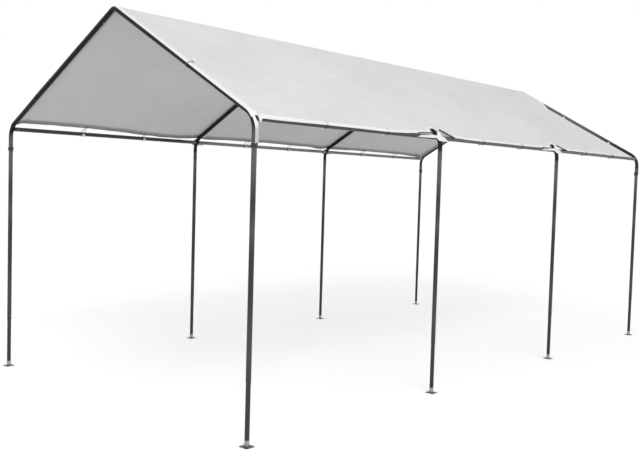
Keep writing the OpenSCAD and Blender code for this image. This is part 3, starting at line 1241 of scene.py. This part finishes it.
def steelFinish(name, shaded, rough, coat, specular):
    # painted tube: an orange-peel gloss, blotches, scratches and dust low down, over painted reflections
    # in bands by height, with painted shade on fittings and painted light on rails
    made, tree, shader = newFinish(name, Specular_IOR_Level=specular, Coat_Weight=coat,
                                   Coat_Roughness=0.15)
    place = texturePlace(tree)
    wear = useGroup(tree, wearTree, Vector=place, Scale=9.0, Dust_Height=0.35)
    blotch = remap(tree, wear["Blotch"], 0.35, 0.7)
    x, y, z = split(tree, place)
    height = plus(tree, z, times(tree, noiseNode(tree, place, 9, 3), 0.03))
    color = paintedReflectionBands(tree, height)
    if shaded:
        color = shadedFittingColor(tree, blotch, height, y, color)
    else:
        color = litRailColor(tree, x, y, z, color)
    for amount, share, over in ((blotch, 0.18, "blotch"), (wear["Scratch"], 0.35, "scratch"),
                                (wear["Dust"], 0.3, "dust")):
        color = mixColor(tree, times(tree, amount, share), color, steel[over])
    gloss = plus(tree, remap(tree, wear["Blotch"], 0.3, 0.7, rough, rough + 0.12),
                 times(tree, wear["Dust"], 0.35))
    feed(tree, shader, {"Base Color": color, "Roughness": gloss})
    bump(tree, shader, (noiseNode(tree, place, 420, 2), 0.0002, 0.25))
    return made


zinc = {
    "light": ((0.30, 0.31, 0.32), (0.44, 0.45, 0.46)),
    "dark": ((0.075, 0.08, 0.082), (0.15, 0.155, 0.155)),
    "plate": 0.0045,  # below this height it is the plate
}


def footFinish():
    # galvanised neck and plate, darker where the plate has been trodden on and wetted
    made, tree, shader = newFinish("foot_zinc", Metallic=0.75, Specular_IOR_Level=0.5)
    place = texturePlace(tree)
    wear = useGroup(tree, wearTree, Vector=place, Scale=38.0, Dust_Height=0.09)
    grey = mixColor(tree, cellNode(tree, place, 170, "Color"), *zinc["light"])
    onPlate = mathNode(tree, "LESS_THAN", split(tree, place)[2], zinc["plate"])
    darkened = mixColor(tree, remap(tree, wear["Blotch"], 0.3, 0.7), *zinc["dark"])
    color = mixColor(tree, onPlate, grey, darkened)
    color = mixColor(tree, times(tree, wear["Dust"], 0.5), color, steel["dust"])
    feed(tree, shader, {"Base Color": color,
                        "Roughness": remap(tree, wear["Blotch"], 0.3, 0.7, 0.32, 0.52)})
    bump(tree, shader, (noiseNode(tree, place, 240, 3), 0.0002, 0.4))
    return made


def cordFinish():
    # braided elastic: strands that cross as they run round the cord, darker between them: painted shade in
    # the grooves
    made, tree, shader = newFinish("elastic_braid", Roughness=0.7, Sheen_Weight=0.25)
    u, v, _ = split(tree, texturePlace(tree, "UV"))
    run, around = times(tree, u, 1500), times(tree, v, 8 * math.pi)
    braid = larger(tree, ribs(tree, plus(tree, run, around)),
                   ribs(tree, mathNode(tree, "SUBTRACT", run, around)))
    feed(tree, shader, {"Base Color": mixColor(tree, braid, (0.010, 0.010, 0.011), (0.040, 0.041, 0.043))})
    bump(tree, shader, (braid, 0.0003, 0.6))
    return made


def moulded(name, light, dark, rough, bumpScale=500, metallic=0.0):
    # moulded plastic, thread or plain metal with mottled colour
    made, tree, shader = newFinish(name, Specular_IOR_Level=0.45, Metallic=metallic)
    place = texturePlace(tree)
    patch = remap(tree, noiseNode(tree, place, 130, 4), 0.35, 0.65)
    feed(tree, shader, {"Base Color": mixColor(tree, patch, light, dark),
                        "Roughness": remap(tree, patch, 0, 1, rough, rough + 0.15)})
    bump(tree, shader, (noiseNode(tree, place, bumpScale, 3), 0.00015, 0.4))
    return made


coverCloth = fabricFinish()
framePaint = steelFinish("frame_paint", False, 0.30, coat=0.08, specular=0.30)
fittingPaint = steelFinish("fitting_paint", True, 0.46, coat=0.0, specular=0.13)
footZinc = footFinish()
elasticBraid = cordFinish()
ballPlastic = moulded("ball_plastic", (0.86, 0.865, 0.87), (0.79, 0.79, 0.79), 0.3)
eyeletMetal = moulded("eyelet_metal", (0.62, 0.62, 0.60), (0.46, 0.46, 0.44), 0.25, metallic=0.9)
seamThread = moulded("seam_thread", (0.80, 0.80, 0.79), (0.66, 0.66, 0.65), 0.6, bumpScale=2500)
print("finishes made")


def dress(o, material, body="root"):
    o.data.materials.clear()
    o.data.materials.append(material)
    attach(o, body)
    return o


# the cover, its tabs and its ties
coverSheet = dress(makeCover(), coverCloth)
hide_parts("cover", "cover_hems")
print("cover:", len(coverSheet.data.vertices), "points")
dress(makeTabs(), coverCloth)
dress(makeBands(), elasticBraid)
eaveBalls, eaveEyelets = makeTies("eave_tie", eavePlaces())
gableEyelets = makeTies("gable_tie", gablePlaces())[1]
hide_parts("cover_ties")
print("ties made")

eyeletTree = grownTree("eyelet", {"Radius": 0.0056, "Roll": 0.0016}, eyeletShape)
eyelets = grown("cover_eyelets", eyeletTree, eaveEyelets + gableEyelets, eyeletMetal)
stitchTree = grownTree("stitch", {"Length": stitch["length"], "Thread": stitch["thread"]}, stitchShape)
stitches = [grown(f"hem_stitches_{name}", stitchTree, points, seamThread)
            for name, points in stitchPoints().items()]
buttonTree = grownTree("spring_button", {"Radius": button["radius"]}, buttonShape)
grown("joint_buttons", buttonTree, buttonPoints(), footZinc)
beadTree = grownTree("weld_bead", {"Radius": weld["radius"]}, beadShape)
grown("weld_beads", beadTree, weldPoints(), fittingPaint)
print("stitches, eyelets, buttons and welds grown")

# the frame's own finishes
for name, o in nodes.items():
    if "cover" in name:
        continue
    if "feet" in name:
        finish = footZinc
    elif "leg" in name or "eave_rail" in name:
        finish = framePaint
    else:
        finish = fittingPaint
    for materialSlot in o.material_slots:
        materialSlot.material = finish

sheetWidth = sum(edgeAt(side, yAt(0.5)) for side in sides)


# floor, lamps and world
light = {
    "world": 0.62,
    "floorSize": 60,
    "floorZ": -0.0003,
    "floor": ((0.75, 0.75, 0.75), (0.735, 0.735, 0.735)),
    "floorLift": (0.435, 0.55),  # near the shelter and far from it, between these distances
    "liftReach": (4.0, 13.0),
    "aim": (0, 0, 1.8),
    "lamps": (
        ("key", (12.0, -8.0, 11.0), 7.5, 1060),
        ("fill", (-7.0, -5.0, 4.0), 6.0, 80),
    ),
}


def seenBy(tree, *kinds):
    # 1 for the camera's own rays and for those of these kinds
    path = addNode(tree, "ShaderNodeLightPath").outputs
    seen = path["Is Camera Ray"]
    for kind in kinds:
        seen = larger(tree, seen, path[f"Is {kind} Ray"])
    return seen


def makeFloor():
    size = light["floorSize"]
    verts = [(x * size, y * size, light["floorZ"]) for x, y in ((-1, -1), (1, -1), (1, 1), (-1, 1))]
    floor = newPiece("floor", verts, [(0, 1, 2, 3)])
    made, tree, shader = newFinish("studio_floor", Roughness=0.9, Specular_IOR_Level=0.0)
    feed(tree, shader, {"Base Color": mixColor(tree, noiseNode(tree, texturePlace(tree), 3, 3),
                                               *light["floor"])})
    # the camera sees the floor a little lighter, so that it meets the white behind it
    reach = addNode(tree, "ShaderNodeVectorMath", {0: texturePlace(tree)}, operation="LENGTH")
    lift = remap(tree, reach.outputs["Value"], *light["liftReach"], *light["floorLift"])
    glow = addNode(tree, "ShaderNodeEmission", {"Strength": times(tree, seenBy(tree, "Glossy"), lift)})
    both = addNode(tree, "ShaderNodeAddShader", {0: shader.outputs[0], 1: glow.outputs[0]})
    feed(tree, tree.nodes["Material Output"], {"Surface": both.outputs[0]})
    floor.data.materials.append(made)


def makeLamp(name, place, size, power):
    data = bpy.data.lights.new(name, "AREA")
    data.size = size
    data.energy = power
    toward = Vector(light["aim"]) - Vector(place)
    turned = toward.to_track_quat("-Z", "Y").to_matrix().to_4x4()
    linked(name, data).matrix_world = Matrix.Translation(place) @ turned


def makeWorld():
    world = bpy.data.worlds.new("studio")
    bpy.context.scene.world = world
    world.use_nodes = True
    tree = world.node_tree
    seen = seenBy(tree, "Glossy", "Transmission")
    strength = plus(tree, times(tree, seen, 1 - light["world"]), light["world"])
    feed(tree, tree.nodes["Background"], {"Color": (1, 1, 1), "Strength": strength})


makeFloor()
for lamp in light["lamps"]:
    makeLamp(*lamp)
makeWorld()
bpy.context.scene.view_settings.view_transform = "Standard"
print("floor and lamps set")
